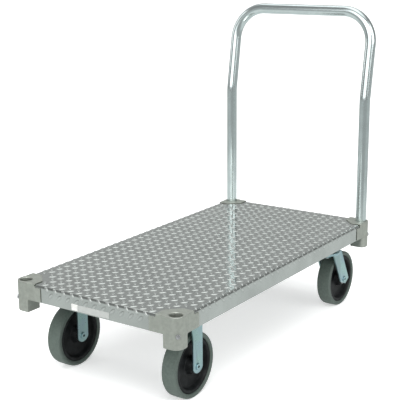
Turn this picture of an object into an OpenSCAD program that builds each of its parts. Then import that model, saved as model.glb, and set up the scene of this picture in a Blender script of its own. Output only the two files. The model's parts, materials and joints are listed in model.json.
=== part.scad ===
// Flatbed platform truck: tread plate deck on four corner castings, two rigid and
// two swivel casters, and a lift-out tubular push handle.
// Millimetres, +Z up, floor at Z = 0. +Y points to the handle end, X runs across the deck.

/* [Deck] */
// length of the deck along Y
deck_l = 1220; // [800:10:1800]
// width of the deck across X
deck_w = 610; // [450:10:900]
// thickness of the deck sheet
sheet_t = 4; // [2:0.5:6]
// depth of the turned-down edges, from the deck surface
lip_h = 54; // [40:1:80]
// outside radius of the bend between deck and edge
bend_r = 8; // [5:1:16]

/* [Corner castings] */
// clearance around a handle post in its stake pocket
pocket_gap = 0.45; // [0.2:0.05:1]
// wall of the socket column around the stake pocket
socket_wall = 7.5; // [5:0.5:12]
// how far the socket column stands proud of the casting's edge flanges
socket_proud = 2.5; // [0:0.5:5]
// rounding of the column's outer corner towards the deck's middle
socket_round = 16; // [4:1:20]
// depth of the casting's underside below the deck surface
socket_drop = 94; // [70:1:120]
// thickness of the pocket floor
pocket_floor = 8; // [4:1:15]
// diameter of the drain hole in the pocket floor
drain_d = 8; // [4:1:15]
// thickness of the casting's flanges
flange_t = 3; // [2:0.5:6]
// reach of the casting's edge flanges from the deck corner
flange_reach = 100; // [85:5:180]
// reach of the casting's top cap from the deck corner
cap_reach = 76; // [70:1:110]
// chamfer across the top cap's inner corner
cap_chamfer = 40; // [10:1:50]
// height of the lock screw's axis above the casting's underside
screw_up = 42; // [20:1:60]
// diameter of the lock screw
screw_d = 8; // [5:1:10]
// width across flats of the lock screw's head
screw_af = 13; // [8:1:17]

/* [Under frame] */
// depth of a caster bolster below the deck sheet
bolster_h = 66; // [50:1:90]
// distance from the caster bolts to the bolster's sides
bolster_edge = 19; // [16:1:40]
// gap from a bolster's end to the deck's side
bolster_gap = 27; // [10:1:60]
// wall of the bolsters
bolster_t = 5; // [3:0.5:8]
// width of a deck rib
rib_w = 50; // [30:1:80]
// depth of a deck rib
rib_h = 40; // [20:1:50]
// wall of the deck ribs
rib_t = 3; // [2:0.5:5]
// spacing of the deck ribs
rib_pitch = 200; // [120:5:300]

/* [Label plate] */
// width of the blank label plate
label_w = 143; // [80:1:200]
// height of the blank label plate
label_h = 20; // [12:1:24]
// offset of the label plate from the deck's middle
label_x = -11.5; // [-60:0.5:60]
// thickness of the label plate
label_t = 0.8; // [0.5:0.1:2]

/* [Casters] */
// distance of the wheel centres from the deck's sides
caster_in_x = 83; // [80:1:140]
// distance of the rigid axles and the kingpins from the deck's ends
caster_in_y = 163; // [120:1:240]
// wheel diameter
wheel_d = 203.2; // [150:0.1:260]
// gap between a wheel's top and the caster's top plate
head_gap = 31.8; // [30:0.1:60]
// tread width
tread_w = 50.8; // [35:0.1:64]
// thickness of the tyre over the wheel core
tyre_t = 15.6; // [10:0.1:22]
// wall of the wheel hub around its bearing
hub_wall = 8; // [5:0.5:14]
// thickness of a caster top plate
plate_t = 6; // [4:0.5:10]
// distance from the bolt holes to the top plate's edges across X
plate_edge_x = 17.65; // [10:0.05:20]
// distance from the bolt holes to the top plate's edges along Y
plate_edge_y = 11; // [10:0.5:16]
// bolt hole spacing across X
bolt_dx = 66.7; // [60:0.1:80]
// bolt hole spacing along Y
bolt_dy = 92; // [84:0.1:110]
// diameter of the mounting bolts
bolt_d = 10; // [8:1:12]
// thickness of the fork legs
leg_t = 6; // [4:0.5:8]
// gap between the tread's sides and the fork legs
side_gap = 6.1; // [4:0.1:12]
// width of a rigid fork leg
leg_w = 47; // [40:1:70]
// depth of a fork leg below the axle
leg_toe = 20; // [18:1:30]
// distance of the swivel axle behind its kingpin
swivel_lead = 68; // [40:1:80]
// diameter of the tubular axle
axle_d = 12.7; // [10:0.1:16]
// wall of the tubular axle
axle_wall = 2.6; // [1.5:0.1:4]
// diameter of the axle's rolled heads
axle_head_d = 21; // [17:1:26]
// wall of the sleeve on the axle
sleeve_t = 3.15; // [2:0.05:5]
// diameter of a bearing roller
roller_d = 6; // [5:0.5:8]
// kingpin diameter
kingpin_d = 16; // [12:1:20]
// diameter of a swivel raceway
race_d = 60; // [50:1:70]
// diameter of a load ball
ball_d = 9; // [7:0.5:11]

/* [Handle] */
// outside diameter of the handle tube
tube_d = 38.1; // [30:0.1:42]
// wall of the handle tube
tube_t = 2.1; // [1.5:0.1:4]
// height above the deck surface at which the posts bend back
kink_up = 451; // [300:1:600]
// lean of the handle's upper part
handle_lean = 9; // [0:1:15]
// length of the leaning part up to the grip bar's axis
upper_l = 314; // [200:1:450]
// centreline radius of the grip corners
corner_r = 115; // [80:1:180]

/* [Hidden] */
// longest chord angle; every round is drawn as a true circle
$fn = 64;
// gap between parts that move against each other
run_gap = 0.4;
// allowance of a hole over the bolt in it
hole_gap = 1;
// overlap that makes a cut run clear of a face
over = 1;

wheel_r = wheel_d / 2;
deck_h = wheel_d + head_gap + plate_t + bolster_h + sheet_t;
sheet_low = deck_h - sheet_t;
lip_low = deck_h - lip_h;
cap_top = deck_h + flange_t;
mount_h = sheet_low - bolster_h;
plate_low = mount_h - plate_t;
web_top = mount_h + bolster_t;

pocket_d = tube_d + 2 * pocket_gap;
socket_half = pocket_d / 2 + socket_wall;
pocket_inset = socket_half - flange_t - socket_proud;
mouth_chamfer = 2;
post_x = deck_w / 2 - pocket_inset;
post_y = deck_l / 2 - pocket_inset;
socket_low = deck_h - socket_drop;
pocket_low = socket_low + pocket_floor;
kink_h = deck_h + kink_up;

caster_x = deck_w / 2 - caster_in_x;
caster_y = deck_l / 2 - caster_in_y;
plate_w = bolt_dx + 2 * plate_edge_x;
plate_l = bolt_dy + 2 * plate_edge_y;
bolster_w = bolt_dy + 2 * bolster_edge;
fork_gap = tread_w + 2 * side_gap;

// distance from the deck's middle to the truck's front and rear extremes
front_reach = deck_l / 2 + flange_t + socket_proud;
rear_reach = post_y + upper_l * sin(handle_lean) + tube_d / 2;
// the row's origin is the middle of the truck's box, this far behind the deck's middle
mid_y = (rear_reach - front_reach) / 2;

screw_z = socket_low + screw_up;
spot_depth = 1.5;
screw_seat = socket_half - spot_depth;
screw_head = 0.66 * screw_d;
// room for a socket wrench round the screw's head
spot_room = 2.5;
spot_d = screw_af + 2 * spot_room;
// the label plate sits this far above the edge's lower rim
label_up = 3.25;

// wheel bearing, from the axle outwards
axle_bore = axle_d - 2 * axle_wall;
axle_head_t = 2.5;
// clearance of the axle in the fork's holes
axle_fit = 0.1;
sleeve_d = axle_d + 2 * sleeve_t;
thrust_t = 1.6;
roller_gap = 0.1;
roller_space = 0.5;
roller_ring = sleeve_d / 2 + run_gap + roller_d / 2;
roller_n = floor(PI * 2 * roller_ring / (roller_d + roller_space));
hub_bore = 2 * (roller_ring + roller_d / 2 + roller_gap);
hub_d = hub_bore + 2 * hub_wall;
hub_l = fork_gap - 2 * (thrust_t + run_gap);
// the rollers end this far inside the hub, and the washers reach this far past its bore
roller_inset = 4;
washer_lap = 2;
roller_l = hub_l - 2 * roller_inset;
thrust_d = hub_bore + 2 * washer_lap;

// wheel section
core_d = wheel_d - 2 * tyre_t;
core_w = tread_w - 6;
rim_t = 11;
web_t = 16;
// the web's sloped shoulders at the hub and the rim
web_slope = 5;
shoulder = 6;

// swivel head, from the top plate down
race_t = 6;
race_low = plate_low - race_t;
race_gap = 8;
crown_top = race_low - race_gap;
crown_t = 8;
crown_low = crown_top - crown_t;
// metal outside the ball races in the crown, the top plate and the lower race
crown_rim = 14;
race_rim = 10;
lower_rim = 6;
crown_d = race_d + 2 * crown_rim;
ball_z = crown_top + race_gap / 2;
ball_space = 1.4;
ball_n = floor(PI * race_d / (ball_d + ball_space));
small_ball_d = 5;
// the small balls' clearance from the kingpin
small_clear = 5;
small_ring = kingpin_d + small_ball_d + 2 * small_clear;
small_n = floor(PI * small_ring / (small_ball_d + ball_space));
small_gap = 4;
small_z = crown_low - small_gap / 2;
lower_race_top = crown_low - small_gap;
lower_race_t = 4;
lower_race_d = small_ring + 2 * lower_rim;
kingnut_t = 8;
kingnut_af = 24;
kingpin_tail = 3;
kingpin_low = lower_race_top - lower_race_t - kingnut_t - kingpin_tail;
// a ball sits this close in its fork's groove
seat_gap = 0.05;

// swivel fork leg: half its width at the crown, how far its middle is behind the kingpin
// there, its reach before and behind the axle, and the height of its clipped corners
leg_half_top = 32;
leg_back = 6;
leg_before = 29;
leg_behind = 34;
leg_clip = 16;
// the clipped end's lowest point is this far behind the axle
leg_point = 8;
// rounding of a rigid fork leg's foot, as a share of its width
toe_round = 0.56;

// mounting bolts
bolt_head_t = 0.64 * bolt_d;
bolt_af = 1.7 * bolt_d;
washer_t = 2;
washer_d = 2 * bolt_d;
nut_t = 0.8 * bolt_d;
bolt_tail = 2;

silver = [0.66, 0.68, 0.67];
cast = [0.58, 0.60, 0.58];
zinc = [0.60, 0.70, 0.70];
rubber = [0.42, 0.46, 0.44];
black = [0.13, 0.13, 0.14];
steel = [0.55, 0.56, 0.58];
white = [0.90, 0.90, 0.88];

// ---------- placing ----------

// from the deck's middle to the row's origin
module on_floor() {
  translate([0, -mid_y, 0]) children();
}

// side: -1 left, 1 right; end: -1 front, 1 rear; drawn for the right front corner
module at_corner(side, end) {
  on_floor() scale_sign(side, -end) children();
}

module scale_sign(sx, sy) {
  mirror([sx < 0 ? 1 : 0, 0, 0]) mirror([0, sy < 0 ? 1 : 0, 0]) children();
}

// the middle of a caster's top plate, in plan
module at_caster(side, end) {
  on_floor() translate([side * caster_x, end * caster_y, 0]) children();
}

// the middle of a wheel, its axle along X
module at_wheel(side, end) {
  at_caster(side, end)
    translate([0, end > 0 ? swivel_lead : 0, wheel_r]) children();
}

// a bar along X, centred
module bar_x(d, l) {
  translate([-l / 2, 0, 0]) rotate([0, 90, 0]) cylinder(d = d, h = l);
}

module hex_prism(af, h) {
  cylinder(d = af / cos(30), h = h, $fn = 6);
}

// ---------- deck ----------

// filled outline of a bent sheet seen on its end, top at Y = 0
module bent_outline(half, depth, r) {
  translate([-half, -depth]) square([2 * half, depth - r]);
  translate([r - half, -depth]) square([2 * (half - r), depth]);
  for (s = [-1, 1]) translate([s * (half - r), -r]) circle(r = r);
}

module bent_section(half) {
  difference() {
    bent_outline(half, lip_h, bend_r);
    translate([0, -sheet_t]) bent_outline(half - sheet_t, lip_h, bend_r - sheet_t);
  }
}

// a sheet with both long edges turned down, running along X
module bent_sheet(half, l) {
  rotate([90, 0, 90]) translate([0, 0, -l / 2]) linear_extrude(l) bent_section(half);
}

module deck_plate() {
  notch = pocket_inset + socket_half;
  color(silver) on_floor() translate([0, 0, deck_h]) {
    bent_sheet(deck_l / 2, deck_w - 2 * notch);
    rotate([0, 0, 90]) bent_sheet(deck_w / 2, deck_l - 2 * notch);
  }
}

// ---------- corner castings ----------

module cap_outline() {
  out_x = deck_w / 2 + flange_t;
  out_y = -deck_l / 2 - flange_t;
  in_x = deck_w / 2 - cap_reach;
  in_y = -deck_l / 2 + cap_reach;
  translate([post_x, -post_y]) circle(r = socket_half);
  polygon([
    [post_x, out_y], [in_x, out_y], [in_x, in_y - cap_chamfer],
    [in_x + cap_chamfer, in_y], [out_x, in_y], [out_x, -post_y], [post_x, -post_y]
  ]);
}

module socket_outline() {
  straight = socket_half - socket_round;
  translate([post_x, -post_y]) {
    circle(r = socket_half);
    translate([-socket_half, -socket_half]) square([socket_half, 2 * socket_half]);
    square([straight, socket_half]);
    square([socket_half, straight]);
    translate([straight, straight]) circle(r = socket_round);
  }
}

// the two flanges that lie on the deck's turned-down edges
module edge_flanges() {
  low_h = lip_h - bend_r;
  side_l = flange_reach - pocket_inset;
  cap_l = cap_reach - pocket_inset;
  translate([deck_w / 2, -post_y, lip_low]) {
    cube([flange_t, side_l, low_h]);
    cube([flange_t, cap_l, lip_h + flange_t]);
  }
  translate([post_x, -deck_l / 2 - flange_t, lip_low]) {
    translate([-side_l, 0, 0]) cube([side_l, flange_t, low_h]);
    translate([-cap_l, 0, 0]) cube([cap_l, flange_t, lip_h + flange_t]);
  }
}

// frame on the lock screw's axis, Z pointing out of the corner
module at_screw() {
  translate([post_x, -post_y, screw_z]) rotate([0, 90, -45]) children();
}

module corner_casting() {
  difference() {
    union() {
      translate([0, 0, socket_low]) linear_extrude(cap_top - socket_low) socket_outline();
      translate([0, 0, deck_h]) linear_extrude(flange_t) cap_outline();
      edge_flanges();
    }
    translate([post_x, -post_y, pocket_low]) cylinder(d = pocket_d, h = lip_h + deck_h);
    translate([post_x, -post_y, cap_top - mouth_chamfer])
      cylinder(d1 = pocket_d, d2 = pocket_d + 2 * (mouth_chamfer + over), h = mouth_chamfer + over);
    translate([post_x, -post_y, socket_low - over]) cylinder(d = drain_d, h = pocket_floor + 2 * over);
    at_screw() cylinder(d = screw_d, h = socket_half + over);
    at_screw() translate([0, 0, screw_seat]) cylinder(d = spot_d, h = socket_half);
  }
}

module lock_screw() {
  tip = tube_d / 2 + run_gap;
  at_screw() {
    translate([0, 0, tip]) cylinder(d = screw_d, h = screw_seat - tip);
    translate([0, 0, screw_seat]) hex_prism(screw_af, screw_head);
  }
}

module corner_casting_front_left() color(cast) at_corner(-1, -1) corner_casting();
module corner_casting_front_right() color(cast) at_corner(1, -1) corner_casting();
module corner_casting_rear_left() color(cast) at_corner(-1, 1) corner_casting();
module corner_casting_rear_right() color(cast) at_corner(1, 1) corner_casting();

module lock_screws() {
  color(steel) for (side = [-1, 1], end = [-1, 1]) at_corner(side, end) lock_screw();
}

// ---------- under frame ----------

// a channel along X, open upwards, its legs meeting the deck sheet
module channel(l, w, h, t) {
  translate([-l / 2, -w / 2, sheet_low - h]) difference() {
    cube([l, w, h]);
    translate([-over, t, t]) cube([l + 2 * over, w - 2 * t, h]);
  }
}

module each_bolt_place() {
  for (sx = [-1, 1], sy = [-1, 1])
    translate([sx * bolt_dx / 2, sy * bolt_dy / 2, 0]) children();
}

module bolster(end) {
  difference() {
    on_floor() translate([0, end * caster_y, 0])
      channel(deck_w - 2 * bolster_gap, bolster_w, bolster_h, bolster_t);
    for (side = [-1, 1]) at_caster(side, end) each_bolt_place()
      translate([0, 0, mount_h - over]) cylinder(d = bolt_d + hole_gap, h = bolster_t + 2 * over);
  }
}

module front_bolster() color(silver) bolster(-1);
module rear_bolster() color(silver) bolster(1);

module deck_rib(place) {
  color(silver) on_floor() translate([0, place * rib_pitch, 0])
    channel(deck_w - 2 * (sheet_t + bend_r), rib_w, rib_h, rib_t);
}

module deck_rib_front() deck_rib(-1);
module deck_rib_middle() deck_rib(0);
module deck_rib_rear() deck_rib(1);

module label_plate() {
  color(white) on_floor()
    translate([label_x - label_w / 2, -deck_l / 2 - label_t, lip_low + label_up])
      cube([label_w, label_t, label_h]);
}

// ---------- caster plates and forks ----------

module top_plate() {
  difference() {
    translate([-plate_w / 2, -plate_l / 2, plate_low]) cube([plate_w, plate_l, plate_t]);
    each_bolt_place() translate([0, 0, plate_low - over])
      cylinder(d = bolt_d + hole_gap, h = plate_t + 2 * over);
  }
}

// places its child on both legs' inner faces, Z pointing outwards
module each_leg() {
  for (s = [-1, 1]) scale_sign(s, 1) translate([fork_gap / 2, 0, 0])
    rotate([90, 0, 90]) children();
}

module rigid_fork(side) {
  toe_r = toe_round * leg_w;
  toe_z = wheel_r - leg_toe + toe_r;
  color(zinc) at_caster(side, -1) difference() {
    union() {
      top_plate();
      translate([-fork_gap / 2 - leg_t, -leg_w / 2, plate_low - leg_t])
        cube([fork_gap + 2 * leg_t, leg_w, leg_t]);
      each_leg() linear_extrude(leg_t) {
        translate([-leg_w / 2, toe_z]) square([leg_w, plate_low - toe_z]);
        intersection() {
          translate([-leg_w / 2, wheel_r - leg_toe - over]) square([leg_w, toe_r + 2 * over]);
          translate([0, toe_z]) circle(r = toe_r);
        }
      }
    }
    translate([0, 0, wheel_r]) bar_x(axle_d + 2 * axle_fit, fork_gap + 4 * leg_t);
  }
}

module rigid_fork_left() rigid_fork(-1);
module rigid_fork_right() rigid_fork(1);

// ring groove of a ball race, seen from the kingpin's axis
module ball_groove(ring_d, r, z) {
  translate([0, 0, z]) rotate_extrude() translate([ring_d / 2, 0]) circle(r = r);
}

module swivel_plate(side) {
  color(zinc) at_caster(side, 1) difference() {
    union() {
      top_plate();
      translate([0, 0, race_low]) cylinder(d = race_d + 2 * race_rim, h = race_t + over);
    }
    translate([0, 0, race_low - over]) cylinder(d = kingpin_d, h = plate_t + race_t + 2 * over);
    ball_groove(race_d, ball_d / 2 + run_gap, ball_z);
  }
}

module swivel_plate_left() swivel_plate(-1);
module swivel_plate_right() swivel_plate(1);

module kingpin(side) {
  color(steel) at_caster(side, 1) translate([0, 0, kingpin_low])
    cylinder(d = kingpin_d, h = mount_h - kingpin_low);
}

module kingpin_left() kingpin(-1);
module kingpin_right() kingpin(1);

module lower_race(side) {
  color(steel) at_caster(side, 1) difference() {
    translate([0, 0, lower_race_top - lower_race_t]) cylinder(d = lower_race_d, h = lower_race_t);
    translate([0, 0, lower_race_top - lower_race_t - over])
      cylinder(d = kingpin_d, h = lower_race_t + 2 * over);
    ball_groove(small_ring, small_ball_d / 2 + run_gap, small_z);
  }
}

module lower_race_left() lower_race(-1);
module lower_race_right() lower_race(1);

module kingpin_nut(side) {
  color(steel) at_caster(side, 1)
    translate([0, 0, lower_race_top - lower_race_t - kingnut_t]) difference() {
      hex_prism(kingnut_af, kingnut_t);
      translate([0, 0, -over]) cylinder(d = kingpin_d, h = kingnut_t + 2 * over);
    }
}

module kingpin_nut_left() kingpin_nut(-1);
module kingpin_nut_right() kingpin_nut(1);

// side view of a swivel fork leg, kingpin axis at X = 0, floor at Y = 0
module swivel_leg_outline() {
  foot = wheel_r - leg_toe;
  polygon([
    [leg_back - leg_half_top, crown_top], [swivel_lead - leg_before, foot + leg_clip],
    [swivel_lead + leg_point, foot], [swivel_lead + leg_behind, foot + leg_clip],
    [leg_back + leg_half_top, crown_top]
  ]);
}

module swivel_fork(side) {
  color(zinc) at_caster(side, 1) difference() {
    union() {
      translate([0, 0, crown_low]) cylinder(d = crown_d, h = crown_t);
      translate([-fork_gap / 2 - leg_t, leg_back - leg_half_top, crown_low])
        cube([fork_gap + 2 * leg_t, 2 * leg_half_top, crown_t]);
      each_leg() linear_extrude(leg_t) swivel_leg_outline();
    }
    translate([0, 0, crown_low - over])
      cylinder(d = kingpin_d + 2 * run_gap, h = crown_t + 2 * over);
    ball_groove(race_d, ball_d / 2 + seat_gap, ball_z);
    ball_groove(small_ring, small_ball_d / 2 + seat_gap, small_z);
    translate([0, swivel_lead, wheel_r]) bar_x(axle_d + 2 * axle_fit, fork_gap + 4 * leg_t);
  }
}

module swivel_fork_left() swivel_fork(-1);
module swivel_fork_right() swivel_fork(1);

module ball_ring(side, ring_d, d, n, z) {
  color(steel) at_caster(side, 1) for (i = [0 : n - 1])
    rotate([0, 0, i * 360 / n]) translate([ring_d / 2, 0, z]) sphere(d = d);
}

module load_balls_left() ball_ring(-1, race_d, ball_d, ball_n, ball_z);
module load_balls_right() ball_ring(1, race_d, ball_d, ball_n, ball_z);
module thrust_balls_left() ball_ring(-1, small_ring, small_ball_d, small_n, small_z);
module thrust_balls_right() ball_ring(1, small_ring, small_ball_d, small_n, small_z);

// ---------- caster fasteners ----------

module each_caster_bolt() {
  for (side = [-1, 1], end = [-1, 1]) at_caster(side, end) each_bolt_place() children();
}

module caster_bolts() {
  color(steel) each_caster_bolt() translate([0, 0, plate_low]) {
    translate([0, 0, -bolt_head_t]) hex_prism(bolt_af, bolt_head_t);
    cylinder(d = bolt_d, h = web_top - plate_low + washer_t + nut_t + bolt_tail);
  }
}

module bolt_ring(z, h) {
  translate([0, 0, z]) difference() {
    children();
    translate([0, 0, -over]) cylinder(d = bolt_d, h = h + 2 * over);
  }
}

module caster_washers() {
  color(steel) each_caster_bolt() bolt_ring(web_top, washer_t)
    cylinder(d = washer_d, h = washer_t);
}

module caster_nuts() {
  color(steel) each_caster_bolt() bolt_ring(web_top + washer_t, nut_t)
    hex_prism(bolt_af, nut_t);
}

// ---------- wheels ----------

module axle(side, end) {
  grip = fork_gap + 2 * leg_t;
  color(zinc) at_wheel(side, end) difference() {
    union() {
      bar_x(axle_d, grip + 2 * axle_head_t);
      for (s = [-1, 1]) translate([s * (grip + axle_head_t) / 2, 0, 0])
        bar_x(axle_head_d, axle_head_t);
    }
    bar_x(axle_bore, grip + 4 * axle_head_t);
  }
}

module axle_front_left() axle(-1, -1);
module axle_front_right() axle(1, -1);
module axle_rear_left() axle(-1, 1);
module axle_rear_right() axle(1, 1);

module sleeve(side, end) {
  color(steel) at_wheel(side, end) difference() {
    bar_x(sleeve_d, fork_gap);
    bar_x(axle_d, fork_gap + 2 * over);
  }
}

module sleeve_front_left() sleeve(-1, -1);
module sleeve_front_right() sleeve(1, -1);
module sleeve_rear_left() sleeve(-1, 1);
module sleeve_rear_right() sleeve(1, 1);

module thrust_washers(side, end) {
  color(steel) at_wheel(side, end) for (s = [-1, 1])
    translate([s * (fork_gap - thrust_t) / 2, 0, 0]) difference() {
      bar_x(thrust_d, thrust_t);
      bar_x(sleeve_d, thrust_t + 2 * over);
    }
}

module thrust_washers_front_left() thrust_washers(-1, -1);
module thrust_washers_front_right() thrust_washers(1, -1);
module thrust_washers_rear_left() thrust_washers(-1, 1);
module thrust_washers_rear_right() thrust_washers(1, 1);

module rollers(side, end) {
  color(steel) at_wheel(side, end) for (i = [0 : roller_n - 1])
    rotate([i * 360 / roller_n, 0, 0]) translate([0, 0, roller_ring]) bar_x(roller_d, roller_l);
}

module rollers_front_left() rollers(-1, -1);
module rollers_front_right() rollers(1, -1);
module rollers_rear_left() rollers(-1, 1);
module rollers_rear_right() rollers(1, 1);

// a body of revolution about the axle, from a section with radius on X
module turned() {
  rotate([0, 90, 0]) rotate_extrude() children();
}

module core(side, end) {
  r = core_d / 2;
  rim_in = r - rim_t;
  hub_r = hub_d / 2;
  color(black) at_wheel(side, end) difference() {
    turned() polygon([
      [0, -hub_l / 2], [hub_r, -hub_l / 2], [hub_r + web_slope, -web_t / 2],
      [rim_in - web_slope, -web_t / 2], [rim_in, -core_w / 2], [r, -core_w / 2],
      [r, core_w / 2], [rim_in, core_w / 2], [rim_in - web_slope, web_t / 2],
      [hub_r + web_slope, web_t / 2], [hub_r, hub_l / 2], [0, hub_l / 2]
    ]);
    bar_x(hub_bore, hub_l + 2 * over);
  }
}

module core_front_left() core(-1, -1);
module core_front_right() core(1, -1);
module core_rear_left() core(-1, 1);
module core_rear_right() core(1, 1);

module tyre_section() {
  r = core_d / 2;
  half = tread_w / 2;
  translate([r, -half]) square([wheel_r - shoulder - r, tread_w]);
  translate([r, shoulder - half]) square([wheel_r - r, tread_w - 2 * shoulder]);
  for (s = [-1, 1]) translate([wheel_r - shoulder, s * (half - shoulder)]) circle(r = shoulder);
}

module tyre(side, end) {
  color(rubber) at_wheel(side, end) turned() tyre_section();
}

module tyre_front_left() tyre(-1, -1);
module tyre_front_right() tyre(1, -1);
module tyre_rear_left() tyre(-1, 1);
module tyre_rear_right() tyre(1, 1);

// ---------- push handle ----------

module tube_ring() {
  difference() {
    circle(d = tube_d);
    circle(d = tube_d - 2 * tube_t);
  }
}

// the frame of the leaning part, on the kink's middle
module at_lean() {
  translate([0, post_y, kink_h]) rotate([-handle_lean, 0, 0]) children();
}

// keeps its children below (up = 0) or above (up = 1) a post's mitre plane
module mitred(up) {
  wide = post_x;
  long = kink_h + upper_l;
  intersection() {
    children();
    translate([post_x, post_y, kink_h]) rotate([-handle_lean / 2, 0, 0])
      translate([-wide / 2, -wide / 2, (up - 1) * long]) cube([wide, wide, long]);
  }
}

module push_handle() {
  arm_l = upper_l - corner_r;
  bar_l = 2 * (post_x - corner_r);
  color(zinc) on_floor() {
    for (side = [-1, 1]) scale_sign(side, 1) {
      mitred(0) translate([post_x, post_y, pocket_low])
        linear_extrude(kink_h - pocket_low + tube_d) tube_ring();
      mitred(1) at_lean() translate([post_x, 0, -tube_d])
        linear_extrude(arm_l + tube_d) tube_ring();
      at_lean() translate([post_x - corner_r, 0, arm_l]) rotate([90, 0, 0])
        rotate_extrude(angle = 90) translate([corner_r, 0]) tube_ring();
    }
    at_lean() translate([-bar_l / 2, 0, upper_l]) rotate([0, 90, 0])
      linear_extrude(bar_l) tube_ring();
  }
}

deck_plate();
front_bolster();
rear_bolster();
deck_rib_front();
deck_rib_middle();
deck_rib_rear();
corner_casting_front_left();
corner_casting_front_right();
corner_casting_rear_left();
corner_casting_rear_right();
lock_screws();
label_plate();
rigid_fork_left();
rigid_fork_right();
swivel_plate_left();
swivel_plate_right();
kingpin_left();
kingpin_right();
lower_race_left();
lower_race_right();
kingpin_nut_left();
kingpin_nut_right();
caster_bolts();
caster_washers();
caster_nuts();
swivel_fork_left();
swivel_fork_right();
load_balls_left();
load_balls_right();
thrust_balls_left();
thrust_balls_right();
axle_front_left();
axle_front_right();
axle_rear_left();
axle_rear_right();
sleeve_front_left();
sleeve_front_right();
sleeve_rear_left();
sleeve_rear_right();
thrust_washers_front_left();
thrust_washers_front_right();
thrust_washers_rear_left();
thrust_washers_rear_right();
rollers_front_left();
rollers_front_right();
rollers_rear_left();
rollers_rear_right();
core_front_left();
core_front_right();
core_rear_left();
core_rear_right();
tyre_front_left();
tyre_front_right();
tyre_rear_left();
tyre_rear_right();
push_handle();
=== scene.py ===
"""Looks of a flatbed platform truck, made around its fixed CAD frame.

Laid out as an add-on: property groups hold the sizes and colours, one operator makes each
piece or group of like pieces, and main() calls them in order. Metres, +Z up, +Y to the handle.
"""
import json
import math

import bmesh
import bpy
import numpy as np
from mathutils import Matrix, Vector

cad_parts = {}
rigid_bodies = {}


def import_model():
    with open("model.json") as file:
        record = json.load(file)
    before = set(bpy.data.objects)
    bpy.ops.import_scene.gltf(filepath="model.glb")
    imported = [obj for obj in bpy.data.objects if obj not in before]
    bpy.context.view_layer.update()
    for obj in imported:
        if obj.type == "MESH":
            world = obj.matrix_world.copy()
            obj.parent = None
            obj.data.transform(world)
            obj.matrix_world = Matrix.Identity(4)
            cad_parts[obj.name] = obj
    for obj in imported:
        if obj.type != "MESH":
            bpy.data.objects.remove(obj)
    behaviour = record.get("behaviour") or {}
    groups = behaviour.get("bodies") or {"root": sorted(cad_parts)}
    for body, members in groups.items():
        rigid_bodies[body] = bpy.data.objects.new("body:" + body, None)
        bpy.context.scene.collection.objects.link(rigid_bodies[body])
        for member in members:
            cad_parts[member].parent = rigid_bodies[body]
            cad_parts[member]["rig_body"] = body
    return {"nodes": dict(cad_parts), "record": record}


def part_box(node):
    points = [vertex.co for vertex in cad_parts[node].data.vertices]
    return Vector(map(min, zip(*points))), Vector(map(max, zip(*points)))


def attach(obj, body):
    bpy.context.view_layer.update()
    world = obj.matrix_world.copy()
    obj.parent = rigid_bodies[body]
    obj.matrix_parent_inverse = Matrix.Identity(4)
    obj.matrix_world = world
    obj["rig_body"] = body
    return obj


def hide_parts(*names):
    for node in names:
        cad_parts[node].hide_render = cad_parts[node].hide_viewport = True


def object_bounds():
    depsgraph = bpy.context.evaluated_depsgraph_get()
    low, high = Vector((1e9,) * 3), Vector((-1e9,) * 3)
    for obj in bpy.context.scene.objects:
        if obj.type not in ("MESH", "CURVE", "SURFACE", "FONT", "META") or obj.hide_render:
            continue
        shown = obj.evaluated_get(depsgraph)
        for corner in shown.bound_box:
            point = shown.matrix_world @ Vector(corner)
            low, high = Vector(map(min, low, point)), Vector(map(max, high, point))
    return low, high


bl_info = {
    "name": "Platform truck looks",
    "version": (1, 0, 0),
    "blender": (4, 5, 0),
    "location": "View3D > Sidebar > Truck",
    "description": "Tread plate, castings, casters, wheels and handle around the truck's CAD frame",
    "category": "Object",
}

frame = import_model()
CAD_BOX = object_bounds()
MM = 0.001
ENDS = ("front", "rear")
SIDES = ("left", "right")
DECK_LOW, DECK_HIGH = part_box("deck_plate")
DECK_MIDDLE = (DECK_LOW + DECK_HIGH) / 2
DECK_HALF = (DECK_HIGH - DECK_LOW) / 2
CAP_REACH = 76 * MM  # a casting's cap, along each deck edge
CAP_CHAMFER = 40 * MM  # cut off the cap's inner corner, along each edge
FLANGE_REACH = 100 * MM  # a casting's flange, along each deck edge
LUG_SUNK = 0.15 * MM  # a lug's foot, below the sheet
PRESSED_HEIGHT, PRESSED_CREST = 0.55, 0.75  # shares left of a lug on the bends and lips: of its height, and of its lighter crest, which is partly wear and partly painted highlight
AXLE_BORE = 4 * MM  # radius of the dark disc painted on an axle's end, painted shade standing in for its hole
POST_RINGS, KINK_RINGS, STRAIGHT_RINGS, CORNER_RINGS = 14, 8, 7, 24  # along the handle's tube
TUBE_SIDES = 48
LABEL_FIELD = 24 * MM  # width of the whiter square on the label plate
FLOOR_REACH = 30.0  # half the floor sheet's side
KEY_PLACE, KEY_SIZE = (1.5, -2.1, 3.2), (1.8, 1.4)
FILL_PLACE, FILL_SIZE = (-3.4, -0.6, 2.0), (1.6, 2.0)


# ---------- settings ----------

def length(name, description, default):
    """A size in metres, shown in the scene's units."""
    return bpy.props.FloatProperty(
        name=name, description=description, default=default, unit="LENGTH", precision=4)


def angle(name, description, degrees):
    """An angle, given in degrees and kept in radians."""
    return bpy.props.FloatProperty(
        name=name, description=description, default=math.radians(degrees), unit="ROTATION")


def level(name, description, default):
    """A brightness, where 1 is white."""
    return bpy.props.FloatProperty(name=name, description=description, default=default, min=0.0)


def linear(code):
    """An sRGB hex colour as linear red, green, blue and alpha."""
    parts = [int(code[i:i + 2], 16) / 255 for i in (0, 2, 4)]
    return [c / 12.92 if c <= 0.04045 else ((c + 0.055) / 1.055) ** 2.4 for c in parts] + [1.0]


def colour(name, description, code):
    """A surface colour, given as sRGB hex and kept linear."""
    return bpy.props.FloatVectorProperty(
        name=name, description=description, default=linear(code), size=4, subtype="COLOR",
        min=0.0, max=1.0)


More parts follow.
